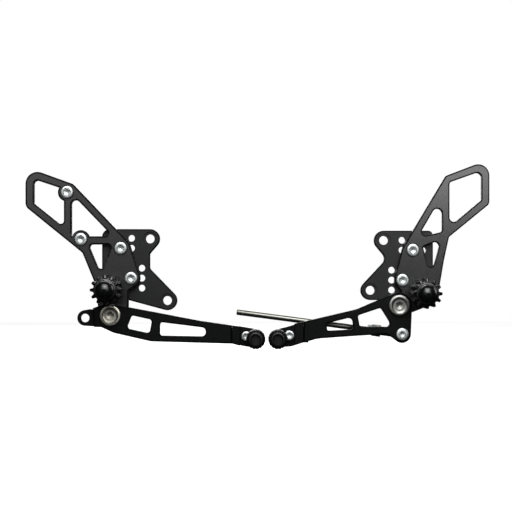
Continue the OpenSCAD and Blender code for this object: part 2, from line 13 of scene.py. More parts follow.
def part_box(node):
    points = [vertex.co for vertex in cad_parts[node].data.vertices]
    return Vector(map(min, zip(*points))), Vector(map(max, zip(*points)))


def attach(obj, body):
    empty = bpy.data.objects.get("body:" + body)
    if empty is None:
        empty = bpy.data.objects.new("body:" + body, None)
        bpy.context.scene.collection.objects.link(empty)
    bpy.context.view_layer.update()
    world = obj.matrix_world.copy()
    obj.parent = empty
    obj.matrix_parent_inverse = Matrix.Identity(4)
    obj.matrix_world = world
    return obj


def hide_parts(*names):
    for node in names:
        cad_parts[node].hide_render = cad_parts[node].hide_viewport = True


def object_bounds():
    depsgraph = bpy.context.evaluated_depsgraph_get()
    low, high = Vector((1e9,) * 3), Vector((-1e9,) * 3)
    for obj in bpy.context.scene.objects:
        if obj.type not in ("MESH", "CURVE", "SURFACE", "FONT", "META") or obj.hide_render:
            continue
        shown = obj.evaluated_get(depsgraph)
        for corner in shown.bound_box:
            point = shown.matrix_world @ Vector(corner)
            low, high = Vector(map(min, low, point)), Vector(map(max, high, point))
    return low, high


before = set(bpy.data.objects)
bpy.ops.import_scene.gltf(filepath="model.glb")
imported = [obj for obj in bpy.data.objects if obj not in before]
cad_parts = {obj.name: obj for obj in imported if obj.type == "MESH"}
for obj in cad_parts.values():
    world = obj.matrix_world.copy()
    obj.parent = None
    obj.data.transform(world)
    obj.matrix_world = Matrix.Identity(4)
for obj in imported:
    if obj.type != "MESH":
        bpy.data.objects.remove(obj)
CAD_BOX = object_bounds()
LOG = logging.getLogger("rear_sets")
MM = 0.001
# A rim counts as a round hole with this many corners, all this near to one circle
HOLE_POINTS = 20
HOLE_SLACK = 0.12 * MM
# A face counts as flat to the front or the back where its normal is this near to Y
FLAT = 0.99


class Slot(Enum):
    """The material slots of the record, one named on each finish."""

    FRAME_PLATE = "frame_plate_black"
    PLATE = "plate_black"
    LEVER = "lever_black"
    PEG = "peg_black"
    TOE_PEG = "toe_peg_black"
    ZINC = "zinc_steel"
    STAINLESS = "stainless"
    BRONZE = "bronze"
    ROD_END = "rod_end_steel"
    ROD = "rod_steel"


class Body(Enum):
    """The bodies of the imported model."""

    ROOT = "root"
    BRAKE_LEVER = "brake_lever"
    SHIFT_LEVER = "shift_lever"
    SHIFT_ROD = "shift_rod"


class Side(Enum):
    """The two halves of the set, by the start of their nodes' names."""

    BRAKE = "brake"
    SHIFT = "shift"


# Finishes


def linear(code: str, alpha: float = 1.0) -> tuple[float, float, float, float]:
    """Turns an sRGB hex colour into linear values.

    Args:
        code: six hex digits after a hash sign.
        alpha: the fourth value.

    Returns:
        Red, green, blue and alpha for a socket.
    """
    parts = [int(code[i : i + 2], 16) / 255 for i in (1, 3, 5)]
    red, green, blue = (p / 12.92 if p <= 0.04045 else ((p + 0.055) / 1.055) ** 2.4 for p in parts)
    return red, green, blue, alpha


def add_node(
    tree: bpy.types.NodeTree,
    kind: str,
    settings: dict[str, object] | None = None,
    links: dict[str | int, bpy.types.NodeSocket] | None = None,
) -> bpy.types.Node:
    """Adds a node, sets it and links its inputs.

    Args:
        tree: the node tree.
        kind: the node's type name.
        settings: values by input name, or by property name where it starts with a dot.
        links: sockets of other nodes, by this node's input name or number.

    Returns:
        The new node.
    """
    node = tree.nodes.new(kind)
    for key, value in (settings or {}).items():
        if key.startswith("."):
            setattr(node, key[1:], value)
        else:
            node.inputs[key].default_value = value
    for key, socket in (links or {}).items():
        tree.links.new(socket, node.inputs[key])
    return node


@dataclass(frozen=True)
class Finish:
    """A surface whose colour and gloss wander slightly with a fine grain.

    Attributes:
        name: what the surface is and how it was made.
        slot: the record's slot that it belongs to; not used.
        light: colour of the grain's light spots.
        deep: colour of its dark spots.
        gloss: roughness at the smoothest and at the roughest spots.
        grain_mm: size of the grain.
        metallic: 1 for bare metal, 0 for a dyed or coated surface.
        specular: specular level of a coated surface.
        relief_mm: height of the grain's bump.
        stretch: how the pattern is scaled along each axis, below 1 where it is drawn out.
        turn_deg: turn of the drawn-out pattern about Y.
    """

    name: str
    slot: Slot
    light: str
    deep: str
    gloss: tuple[float, float]
    grain_mm: float
    metallic: float = 0.0
    specular: float = 0.5
    relief_mm: float = 0.0
    stretch: tuple[float, float, float] = (1.0, 1.0, 1.0)
    turn_deg: float = 0.0

    def material(self) -> bpy.types.Material:
        """Builds the material, or returns it if it is there already."""
        found = bpy.data.materials.get(self.name)
        if found:
            return found
        made = bpy.data.materials.new(self.name)
        made.use_nodes = True
        tree = made.node_tree
        shader = tree.nodes["Principled BSDF"]
        place = add_node(tree, "ShaderNodeTexCoord")
        turned = add_node(
            tree,
            "ShaderNodeMapping",
            {"Rotation": (0, math.radians(self.turn_deg), 0)},
            {"Vector": place.outputs["Object"]},
        )
        drawn = add_node(
            tree,
            "ShaderNodeMapping",
            {"Scale": self.stretch},
            {"Vector": turned.outputs["Vector"]},
        )
        grain = add_node(
            tree,
            "ShaderNodeTexNoise",
            {"Scale": 1 / (self.grain_mm * MM), "Detail": 4.0, "Roughness": 0.6},
            {"Vector": drawn.outputs["Vector"]},
        )
        tint = add_node(
            tree,
            "ShaderNodeMix",
            {".data_type": "RGBA", "A": linear(self.deep), "B": linear(self.light)},
            {"Factor": grain.outputs["Fac"]},
        )
        rough = add_node(
            tree,
            "ShaderNodeMapRange",
            {"From Min": 0.3, "From Max": 0.7, "To Min": self.gloss[0], "To Max": self.gloss[1]},
            {"Value": grain.outputs["Fac"]},
        )
        colour = self.tint(tree, place, tint)
        tree.links.new(colour, shader.inputs["Base Color"])
        tree.links.new(rough.outputs["Result"], shader.inputs["Roughness"])
        shader.inputs["Metallic"].default_value = self.metallic
        shader.inputs["Specular IOR Level"].default_value = self.specular
        if self.relief_mm:
            bump = add_node(
                tree,
                "ShaderNodeBump",
                {"Strength": 1.0, "Distance": self.relief_mm * MM},
                {"Height": grain.outputs["Fac"]},
            )
            tree.links.new(bump.outputs["Normal"], shader.inputs["Normal"])
        return made

    def tint(
        self, tree: bpy.types.NodeTree, place: bpy.types.Node, grain: bpy.types.Node
    ) -> bpy.types.NodeSocket:
        """Hook for a second pattern over the grain's colour.

        Args:
            tree: the material's nodes.
            place: the texture coordinates.
            grain: the mix node with the grain's colour.

        Returns:
            The socket with the base colour.
        """
        return next(s for s in grain.outputs if s.type == "RGBA")

    def dress(self, piece: bpy.types.Object) -> None:
        """Gives a piece this finish."""
        piece.data.materials.clear()
        piece.data.materials.append(self.material())


@dataclass(frozen=True)
class TurnedFinish(Finish):
    """Bare metal faced in a lathe, with fine rings about the axis along Y through a centre.

    Attributes:
        centre: the axis, as x and z in metres.
        ring_mm: distance between two rings.
        ring_depth: how much of the deep colour a ring takes.
    """

    centre: tuple[float, float] = (0.0, 0.0)
    ring_mm: float = 0.6
    ring_depth: float = 0.22

    def tint(
        self, tree: bpy.types.NodeTree, place: bpy.types.Node, grain: bpy.types.Node
    ) -> bpy.types.NodeSocket:
        """Darkens the colour along the rings that the tool left.

        Args:
            tree: the material's nodes.
            place: the texture coordinates.
            grain: the mix node with the grain's colour.

        Returns:
            The socket with the base colour.
        """
        about = add_node(
            tree,
            "ShaderNodeMapping",
            {"Location": (-self.centre[0], 0, -self.centre[1])},
            {"Vector": place.outputs["Object"]},
        )
        # One ring of the wave pattern is pi over ten units wide
        rings = add_node(
            tree,
            "ShaderNodeTexWave",
            {
                ".wave_type": "RINGS",
                ".rings_direction": "Y",
                "Scale": math.pi / 10 / (self.ring_mm * MM),
                "Distortion": 0.4,
                "Detail": 2.0,
            },
            {"Vector": about.outputs["Vector"]},
        )
        faint = add_node(
            tree,
            "ShaderNodeMapRange",
            {"To Min": 0.0, "To Max": self.ring_depth},
            {"Value": rings.outputs["Fac"]},
        )
        mixed = add_node(
            tree,
            "ShaderNodeMix",
            {".data_type": "RGBA", "B": linear(self.deep)},
            {"Factor": faint.outputs["Result"], 6: super().tint(tree, place, grain)},
        )
        return next(s for s in mixed.outputs if s.type == "RGBA")


# The real grain of these finishes is finer: it is drawn at about a millimetre, so that it shows
# Dyed black aluminium, fine milled and sealed: grey where it mirrors the light, near black on its chamfers
PLATE = Finish("black anodised aluminium, sealed", Slot.PLATE, "#141514", "#0d0e0d", (0.19, 0.25), 1.0,
               specular=1.0, stretch=(1.0, 1.0, 0.25))
# The same on the milled frame plates behind, a little duller
FRAME_PLATE = Finish("black anodised aluminium, milled plate", Slot.FRAME_PLATE, "#101112", "#090a0b",
                     (0.3, 0.4), 0.9, specular=0.42, relief_mm=0.002)
# Deep black on the levers, with the faint lines of the cutter along their length
LEVER = Finish("black anodised aluminium, milled lever", Slot.LEVER, "#0a0b0b", "#050606", (0.26, 0.36), 0.8,
               specular=0.14, relief_mm=0.002, stretch=(0.2, 1.0, 1.0))
# Turned and sealed pegs, so the dome and the teeth catch the light softly on a deep black
PEG = Finish("gloss black anodised aluminium, turned", Slot.PEG, "#060707", "#030404", (0.25, 0.31), 0.8,
             specular=0.65)
# Toe pegs are tumbled, so they are grey black with a soft sheen
TOE_PEG = Finish("satin black anodised aluminium, tumbled", Slot.TOE_PEG, "#0a0b0b", "#050606", (0.3, 0.38),
                 0.8, specular=0.35, relief_mm=0.002)
# Bright zinc plate has a cool silver tone and a faint cloudy grain
ZINC = Finish("bright zinc plated steel", Slot.ZINC, "#d9dedd", "#bcc2c2", (0.38, 0.5), 0.9, metallic=1.0)
# Zinc on the forged rod end is duller
ROD_END = Finish("zinc plated forged steel", Slot.ROD_END, "#a2a39d", "#7f8079", (0.38, 0.5), 0.8,
                 metallic=1.0)
# Drawn bar has fine lines along it, which follow the rod's slope
ROD = Finish("bright drawn steel bar", Slot.ROD, "#8b8b85", "#62625d", (0.26, 0.38), 0.35, metallic=1.0,
             stretch=(0.04, 1.0, 1.0), turn_deg=-7.5)
# Sintered bronze is matte and speckled by its pores
BRONZE = Finish("sintered bronze", Slot.BRONZE, "#b08a55", "#6b4e2a", (0.45, 0.6), 0.4, metallic=1.0)


# Modelling helpers


def deselect() -> None:
    """Deselects everything, as an operator acts on all that is selected."""
    bpy.ops.object.select_all(action="DESELECT")


def only(piece: bpy.types.Object) -> None:
    """Makes a piece the only selected and the active object."""
    deselect()
    piece.select_set(True)
    bpy.context.view_layer.objects.active = piece


def edit(piece: bpy.types.Object, kind: str, chosen: Callable[[object], bool]) -> None:
    """Enters edit mode with a choice of faces or edges selected.

    Args:
        piece: the mesh.
        kind: FACE, EDGE or VERT.
        chosen: says of a polygon, edge or vertex whether it is selected.
    """
    only(piece)
    bpy.ops.object.mode_set(mode="EDIT")
    bpy.ops.mesh.select_mode(type=kind)
    bpy.ops.mesh.select_all(action="DESELECT")
    bpy.ops.object.mode_set(mode="OBJECT")
    items = {"FACE": piece.data.polygons, "EDGE": piece.data.edges, "VERT": piece.data.vertices}[kind]
    for item in items:
        item.select = chosen(item)
    bpy.ops.object.mode_set(mode="EDIT")


def leave() -> None:
    """Goes back to object mode."""
    bpy.ops.object.mode_set(mode="OBJECT")


def apply_modifier(piece: bpy.types.Object, kind: str, settings: dict[str, object]) -> None:
    """Adds a modifier to a piece and applies it.

    Args:
        piece: the mesh.
        kind: the modifier's type.
        settings: its values.
    """
    only(piece)
    modifier = piece.modifiers.new(kind.title(), kind)
    for key, value in settings.items():
        setattr(modifier, key, value)
    bpy.ops.object.modifier_apply(modifier=modifier.name)


def smooth(piece: bpy.types.Object, angle_deg: float = 35.0) -> None:
    """Shades a piece smooth where its faces meet at less than an angle."""
    only(piece)
    bpy.ops.object.shade_smooth_by_angle(angle=math.radians(angle_deg))


def break_edges(piece: bpy.types.Object, width_mm: float, angle_deg: float = 32.0) -> None:
    """Takes the sharp edges off a piece with a small flat chamfer, so that its faces stay flat.

    Args:
        piece: the mesh.
        width_mm: width of the chamfer on each face.
        angle_deg: edges that turn by more than this are broken.
    """
    apply_modifier(
        piece,
        "BEVEL",
        {
            "width": width_mm * MM,
            "segments": 1,
            "limit_method": "ANGLE",
            "angle_limit": math.radians(angle_deg),
            "use_clamp_overlap": False,
            "miter_outer": "MITER_ARC",
            "harden_normals": False,
        },
    )


def copy_of_node(node: str) -> bpy.types.Object:
    """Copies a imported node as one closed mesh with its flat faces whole.

    Args:
        node: the node's name.

    Returns:
        The copy, which belongs to no body yet.
    """
    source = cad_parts[node]
    copy = source.copy()
    copy.data = source.data.copy()
    copy.name = f"{node}_dressed"
    copy.parent = None
    for key in list(copy.keys()):
        del copy[key]
    bpy.context.scene.collection.objects.link(copy)
    edit(copy, "VERT", lambda item: True)
    bpy.ops.mesh.remove_doubles(threshold=0.01 * MM)
    bpy.ops.mesh.dissolve_limited(angle_limit=math.radians(0.5), delimit={"NORMAL"})
    leave()
    return copy


def round_holes(piece: bpy.types.Object, chosen: Callable[[object], bool]) -> list[tuple[Vector, float]]:
    """Finds the round holes in a flat face of a plate.

    Args:
        piece: the mesh.
        chosen: says of a polygon whether it belongs to the flat face.

    Returns:
        Centre and radius of each round hole.
    """
    mesh = piece.data
    uses: dict[tuple[int, int], int] = {}
    for face in filter(chosen, mesh.polygons):
        for key in face.edge_keys:
            uses[key] = uses.get(key, 0) + 1
    beside: dict[int, list[int]] = {}
    for first, second in (key for key, count in uses.items() if count == 1):
        beside.setdefault(first, []).append(second)
        beside.setdefault(second, []).append(first)
    holes = []
    while beside:
        loop, waiting = set(), [next(iter(beside))]
        while waiting:
            corner = waiting.pop()
            if corner not in loop:
                loop.add(corner)
                waiting += beside.pop(corner)
        points = [mesh.vertices[i].co for i in loop]
        across, up = [p.x for p in points], [p.z for p in points]
        centre = Vector(((min(across) + max(across)) / 2, points[0].y, (min(up) + max(up)) / 2))
        reach = [(p - centre).length for p in points]
        if len(points) >= HOLE_POINTS and max(reach) - min(reach) < HOLE_SLACK:
            holes.append((centre, max(reach)))
    return holes


def chamfer_face(piece: bpy.types.Object, depth: float, facing: int, width_mm: float) -> None:
    """Chamfers the outline and the windows of a flat face, and leaves its round holes sharp.

    Args:
        piece: the mesh.
        depth: the face's y.
        facing: -1 where the face looks to the front, 1 where it looks to the back.
        width_mm: width and depth of the chamfer.
    """
    width = width_mm * MM

    def in_face(face: bpy.types.MeshPolygon) -> bool:
        """Says whether a polygon belongs to the flat face."""
        return face.normal.y * facing > FLAT and abs(face.center.y - depth) < 0.01 * MM

    def on_ring(vertex: bpy.types.MeshVertex, centre: Vector, radius: float, y: float) -> bool:
        """Says whether a vertex lies on a ring about a hole, at a depth."""
        out = math.hypot(vertex.co.x - centre.x, vertex.co.z - centre.z)
        return abs(out - radius) < 0.03 * MM and abs(vertex.co.y - y) < 0.01 * MM

    holes = round_holes(piece, in_face)
    edit(piece, "FACE", in_face)
    bpy.ops.transform.translate(value=(0, -facing * width, 0))
    bpy.ops.mesh.inset(thickness=width, depth=width, use_even_offset=True, use_boundary=True)
    leave()
    for centre, radius in holes:
        edit(piece, "VERT", lambda vertex: on_ring(vertex, centre, radius + width, depth))
        shrink = (radius + 0.02 * MM) / (radius + width)
        bpy.ops.transform.resize(value=(shrink, 1, shrink), center_override=centre)
        leave()
        edit(piece, "VERT", lambda vertex: on_ring(vertex, centre, radius, depth - facing * width))
        bpy.ops.transform.translate(value=(0, facing * width, 0))
        leave()


def cut(piece: bpy.types.Object, tool: bpy.types.Object) -> None:
    """Cuts a tool's shape out of a piece and deletes the tool."""
    apply_modifier(piece, "BOOLEAN", {"operation": "DIFFERENCE", "solver": "EXACT", "object": tool})
    bpy.data.objects.remove(tool)


def turn_part(name: str, profile: Sequence[tuple[float, float]], sides: int = 64) -> bpy.types.Object:
    """Grows a turned part about +Z from a disc, by extruding and resizing its end face.

    Args:
        name: the piece's name.
        profile: radius and height of each ring, in millimetres, from the bottom up.
        sides: faces round it.

    Returns:
        The closed mesh.
    """
    radius, height = profile[0]
    deselect()
    bpy.ops.mesh.primitive_circle_add(
        vertices=sides, radius=radius * MM, fill_type="NGON", location=(0, 0, height * MM)
    )
    piece = bpy.context.object
    piece.name = name
    bpy.ops.object.transform_apply(location=True)
    edit(piece, "FACE", lambda item: True)
    for next_radius, next_height in profile[1:]:
        rise = (next_height - height) * MM
        bpy.ops.mesh.extrude_region_move(TRANSFORM_OT_translate={"value": (0, 0, rise)})
        if next_radius != radius:
            bpy.ops.transform.resize(value=(next_radius / radius,) * 2 + (1,), center_override=(0, 0, 0))
        radius, height = next_radius, next_height
    bpy.ops.mesh.select_all(action="SELECT")
    bpy.ops.mesh.normals_make_consistent(inside=False)
    leave()
    return piece


def hexagon(across_mm: float, bottom_mm: float, top_mm: float) -> bpy.types.Object:
    """Adds a hexagonal bar about +Z, used to cut a socket.

    Args:
        across_mm: width across the flats.
        bottom_mm: height of its lower end.
        top_mm: height of its upper end.

    Returns:
        The bar.
    """
    deselect()
    bpy.ops.mesh.primitive_cylinder_add(
        vertices=6,
        radius=across_mm / 2 / math.cos(math.radians(30)) * MM,
        depth=(top_mm - bottom_mm) * MM,
        location=(0, 0, (top_mm + bottom_mm) / 2 * MM),
    )
    return bpy.context.object


def drill(across_mm: float, shoulder_mm: float) -> bpy.types.Object:
    """Adds a drill with a pointed end about +Z, used to cut the bottom of a socket.

    Args:
        across_mm: its diameter.
        shoulder_mm: height at which its point starts.

    Returns:
        The drill.
    """
    radius = across_mm / 2 - 0.02
    return turn_part("drill", [(0.1, shoulder_mm - radius * 0.4), (radius, shoulder_mm), (radius, 1.5)], 32)


def stand(piece: bpy.types.Object, place: Vector) -> None:
    """Turns a part made about +Z so that its top faces -Y, and puts its foot at a place.

    Args:
        piece: the part, at the origin.
        place: where its origin goes, in the row frame.
    """
    piece.data.transform(Matrix.Translation(place) @ Matrix.Rotation(math.radians(90), 4, "X"))


def joined(name: str, parts: Sequence[bpy.types.Object]) -> bpy.types.Object:
    """Joins parts into one piece.

    Args:
        name: the piece's name.
        parts: its meshes.

    Returns:
        The piece.
    """
    deselect()
    for part in parts:
        part.select_set(True)
    bpy.context.view_layer.objects.active = parts[0]
    if len(parts) > 1:
        bpy.ops.object.join()
    parts[0].name = name
    return parts[0]


def hand_over(piece: bpy.types.Object, finish: Finish, body: Body, nodes: Sequence[str]) -> None:
    """Dresses a finished piece, puts it on its body and lets it stand for its nodes.

    Args:
        piece: the finished mesh at the origin.
        finish: its surface.
        body: the body it rides on.
        nodes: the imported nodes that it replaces.
    """
    finish.dress(piece)
    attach(piece, body.value)
    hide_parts(*nodes)
    LOG.info("%s stands for %s on %s", piece.name, ", ".join(nodes), body.value)


# Pieces


@dataclass
class MilledPart:
    """A plate or a lever, milled from aluminium, with chamfers along its outline and its windows.

    Attributes:
        node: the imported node.
        body: the body it rides on.
        finish: its surface.
        front_mm: width of the chamfer in front.
        back_mm: width of the chamfer behind.
    """

    node: str
    body: Body
    finish: Finish
    front_mm: float = 1.0
    back_mm: float = 0.5

    def build(self) -> bpy.types.Object:
        """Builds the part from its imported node."""
        piece = copy_of_node(self.node)
        low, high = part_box(self.node)
        chamfer_face(piece, low.y, -1, self.front_mm)
        chamfer_face(piece, high.y, 1, self.back_mm)
        smooth(piece)
        # The flat faces stay flat, so that no shading runs in from the chamfers
        edit(piece, "FACE", lambda face: abs(face.normal.y) > FLAT)
        bpy.ops.mesh.faces_shade_flat()
        leave()
        return piece

    def dress(self) -> None:
        """Builds the part and hands it over."""
        hand_over(self.build(), self.finish, self.body, [self.node])


@dataclass
class EdgedPart:
    """A peg, toe piece, nut, rod or rod end with all its edges broken a little.

    Attributes:
        node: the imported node.
        body: the body it rides on.
        finish: its surface.
        edge_mm: width of the broken edge.
    """

    node: str
    body: Body
    finish: Finish
    edge_mm: float = 0.3

    def build(self) -> bpy.types.Object:
        """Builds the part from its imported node."""
        piece = copy_of_node(self.node)
        break_edges(piece, self.edge_mm)
        smooth(piece)
        return piece

    def dress(self) -> None:
        """Builds the part and hands it over."""
        hand_over(self.build(), self.finish, self.body, [self.node])


@dataclass
class CapScrews:
    """Cap screws of one size whose heads face the viewer, modelled once and copied to their places.

    Attributes:
        node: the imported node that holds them.
        body: the body they ride on.
        count: one screw, or two at opposite corners of the node's box.
        rising: whether the second of two lies up and to the right of the first.
        head_mm: diameter and height of the head.
        key_mm: width across the flats of the socket.
        shank_mm: diameter of the shank.
    """

    node: str
    body: Body
    count: int
    rising: bool
    head_mm: tuple[float, float]
    key_mm: float
    shank_mm: float

    def places(self) -> list[Vector]:
        """Finds each screw's axis at the front of its head from the node's box."""
        low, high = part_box(self.node)
        reach = self.head_mm[0] / 2 * MM
        left, right = low.x + reach, high.x - reach
        bottom, top = low.z + reach, high.z - reach
        if self.count == 1:
            return [Vector(((left + right) / 2, low.y, (bottom + top) / 2))]
        ends = ((left, bottom), (right, top)) if self.rising else ((left, top), (right, bottom))
        return [Vector((x, low.y, z)) for x, z in ends]

    def build(self) -> bpy.types.Object:
        """Builds the screws."""
        low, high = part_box(self.node)
        length = (high.y - low.y) / MM
        radius, height = self.head_mm[0] / 2, self.head_mm[1]
        shank = self.shank_mm / 2
        socket = -height * 0.28
        # Chamfers at the thread's end, under the head, and on the head's rim and the socket's mouth
        lead, edge, crown = 0.6, 0.4, 0.9
        screw = turn_part(
            self.node + "_turned",
            [(shank - lead, -length), (shank, -length + lead), (shank, -height),
             (radius - edge, -height), (radius, -height + edge),
             (radius, -crown), (radius - 0.25, -0.35), (radius - crown, 0),
             (self.key_mm * 0.68, 0), (self.key_mm * 0.54, -crown)],
        )
        cut(screw, hexagon(self.key_mm, socket, 1))
        cut(screw, drill(self.key_mm, socket))
        smooth(screw, 30)
        copies = []
        for place in self.places():
            copy = screw.copy()
            copy.data = screw.data.copy()
            bpy.context.scene.collection.objects.link(copy)
            stand(copy, place)
            copies.append(copy)
        bpy.data.objects.remove(screw)
        return joined(self.node + "_turned", copies)

    def dress(self) -> None:
        """Builds the screws and hands them over."""
        hand_over(self.build(), ZINC, self.body, [self.node])


@dataclass
class PivotBolt:
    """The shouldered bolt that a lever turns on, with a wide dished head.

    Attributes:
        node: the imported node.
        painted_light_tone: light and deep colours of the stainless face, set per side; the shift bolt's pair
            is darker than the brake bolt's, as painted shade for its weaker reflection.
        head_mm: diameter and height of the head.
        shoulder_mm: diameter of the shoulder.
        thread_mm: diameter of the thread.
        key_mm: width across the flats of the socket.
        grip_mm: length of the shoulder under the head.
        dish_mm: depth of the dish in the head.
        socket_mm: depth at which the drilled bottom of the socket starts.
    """

    node: str
    painted_light_tone: tuple[str, str]
    head_mm: tuple[float, float] = (21.4, 5.0)
    shoulder_mm: float = 12.0
    thread_mm: float = 10.0
    key_mm: float = 8.0
    grip_mm: float = 13.2
    dish_mm: float = 1.0
    socket_mm: float = 2.2

    def build(self) -> bpy.types.Object:
        """Builds the bolt."""
        low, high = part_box(self.node)
        length = (high.y - low.y) / MM
        radius, height = self.head_mm[0] / 2, self.head_mm[1]
        thread, shoulder = self.thread_mm / 2, self.shoulder_mm / 2
        under = -height
        # Chamfers at the thread's end, under the head, and on the head's rim
        lead, edge, crown = 0.8, 0.3, 1.1
        bolt = turn_part(
            self.node + "_turned",
            [(thread - lead, -length), (thread, -length + lead), (thread, under - self.grip_mm),
             (shoulder, under - self.grip_mm), (shoulder, under),
             (radius - edge, under), (radius, under + edge),
             (radius, -crown), (radius - 0.4, -edge), (radius - crown, 0),
             (radius - 2.4, 0), (radius - 3.2, -0.6),
             (shoulder, -self.dish_mm), (self.key_mm * 0.6, -self.dish_mm)],
            sides=96,
        )
        cut(bolt, hexagon(self.key_mm, -self.socket_mm, 1))
        cut(bolt, drill(self.key_mm, -self.socket_mm))
        smooth(bolt, 28)
        stand(bolt, Vector(((low.x + high.x) / 2, low.y, (low.z + high.z) / 2)))
        return bolt

    def dress(self) -> None:
        """Builds the bolt and hands it over."""
        low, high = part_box(self.node)
        # Each bolt gets its own copy of the stainless; the copies differ only in brightness, which is
        # painted light and shade, not a different metal
        finish = TurnedFinish(
            f"polished stainless steel, {self.node}", Slot.STAINLESS, self.painted_light_tone[0], self.painted_light_tone[1],
            (0.34, 0.44), 1.2, metallic=1.0, centre=((low.x + high.x) / 2, (low.z + high.z) / 2),
        )
        hand_over(self.build(), finish, Body.ROOT, [self.node])


@dataclass
class PlainPart:
    """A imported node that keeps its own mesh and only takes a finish.

    Attributes:
        node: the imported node.
        finish: its surface.
    """

    node: str
    finish: Finish

    def dress(self) -> None:
        """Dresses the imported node."""
        self.finish.dress(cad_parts[self.node])
        LOG.info("%s keeps its packed mesh", self.node)


@dataclass
class Half:
    """One half of the set: its plates, peg, lever and fasteners.

    Attributes:
        side: which half it is.
        lever: the body of its lever.
        rising: whether its position bolts rise to the right.
        painted_light_tone: colours of its pivot bolt, set per side; the shift side's are darker, as painted
            shade.
        edge_mm: width of the chamfer in front on its side plate, less than the wall round a bolt.
        screw_head_mm: diameter and height of a position bolt's head.
        clamp_head_mm: diameter and height of the toe piece bolt's head.
    """

    side: Side
    lever: Body
    rising: bool
    painted_light_tone: tuple[str, str]
    edge_mm: float
    screw_head_mm: tuple[float, float] = (12.8, 8.0)
    clamp_head_mm: tuple[float, float] = (10.0, 5.6)

    def dress(self) -> None:
        """Builds and dresses the half."""
        root = Body.ROOT
        side = self.side.value
        MilledPart(f"{side}_frame_plate", root, FRAME_PLATE, 1.4).dress()
        MilledPart(f"{side}_side_plate", root, PLATE, self.edge_mm).dress()
        MilledPart(f"{side}_lever", self.lever, LEVER, 1.4).dress()
        EdgedPart(f"{side}_toe_piece", self.lever, LEVER, 0.5).dress()
        EdgedPart(f"{side}_foot_peg", root, PEG, 0.2).dress()
        EdgedPart(f"{side}_toe_peg", self.lever, TOE_PEG, 0.2).dress()
        CapScrews(f"{side}_position_bolts", root, 2, self.rising, self.screw_head_mm, 6.0, 6.7).dress()
        CapScrews(f"{side}_toe_piece_bolt", self.lever, 1, True, self.clamp_head_mm, 5.0, 4.9).dress()
        PivotBolt(f"{side}_pivot_bolt", painted_light_tone=self.painted_light_tone).dress()
        PlainPart(f"{side}_foot_peg_screw", ZINC).dress()
        PlainPart(f"{side}_pivot_washer", ZINC).dress()
        PlainPart(f"{side}_pivot_bush", BRONZE).dress()
        PlainPart(f"{side}_toe_peg_screw", ZINC).dress()


@dataclass
class ShiftLinkage:
    """The rod that goes to the gearbox, with its rod end and fasteners.

    Attributes:
        bolt_head_mm: diameter and height of the rod end bolt's head.
    """

    bolt_head_mm: tuple[float, float] = (12.6, 5.0)

    def dress(self) -> None:
        """Builds and dresses the rod's pieces."""
        CapScrews("shift_rod_end_bolt", Body.SHIFT_LEVER, 1, True, self.bolt_head_mm, 5.0, 5.9).dress()
        EdgedPart("shift_rod_end_body", Body.SHIFT_ROD, ROD_END).dress()
        EdgedPart("shift_rod_nut", Body.SHIFT_ROD, ZINC).dress()
        EdgedPart("shift_rod_end_nut", Body.SHIFT_LEVER, ZINC).dress()
        EdgedPart("shift_rod", Body.SHIFT_ROD, ROD, 0.2).dress()
        PlainPart("shift_rod_end_ball", ZINC).dress()
        PlainPart("shift_rod_end_spacer", ZINC).dress()


# Studio


@dataclass(frozen=True)
class Softbox:
    """A rectangular soft light.

    Attributes:
        name: its name.
        place: where it stands, in metres.
        size: its width and height in metres.
        watts: its power.
    """

    name: str
    place: tuple[float, float, float]
    size: tuple[float, float]
    watts: float


SOFTBOXES = (
    Softbox("key light", (0.1, -1.4, 1.3), (1.5, 1.1), 33),
    Softbox("front light", (-0.1, -2.6, 0.95), (0.9, 0.7), 4),
    # A smaller light near the set, for the rounded pieces
    Softbox("compact light", (0.11, -0.95, 0.45), (0.45, 0.28), 1.8),
    # The plates face the camera and mirror these three
    Softbox("broad panel", (-0.32, -3.5, 0.45), (1.34, 0.94), 2.2),
    Softbox("right panel", (0.42, -1.02, 0.235), (0.34, 0.3), 1.15),
    Softbox("left panel", (-0.38, -1.02, 0.26), (0.3, 0.3), 0.25),
    # These three make the back and the sides readable and hardly change the front
    Softbox("back light", (0.1, 1.6, 1.0), (1.6, 1.2), 26),
    Softbox("back panel", (-0.5, 2.6, 0.5), (1.8, 1.2), 12),
    Softbox("side panel", (1.9, 0.9, 0.6), (1.2, 1.0), 8),
)


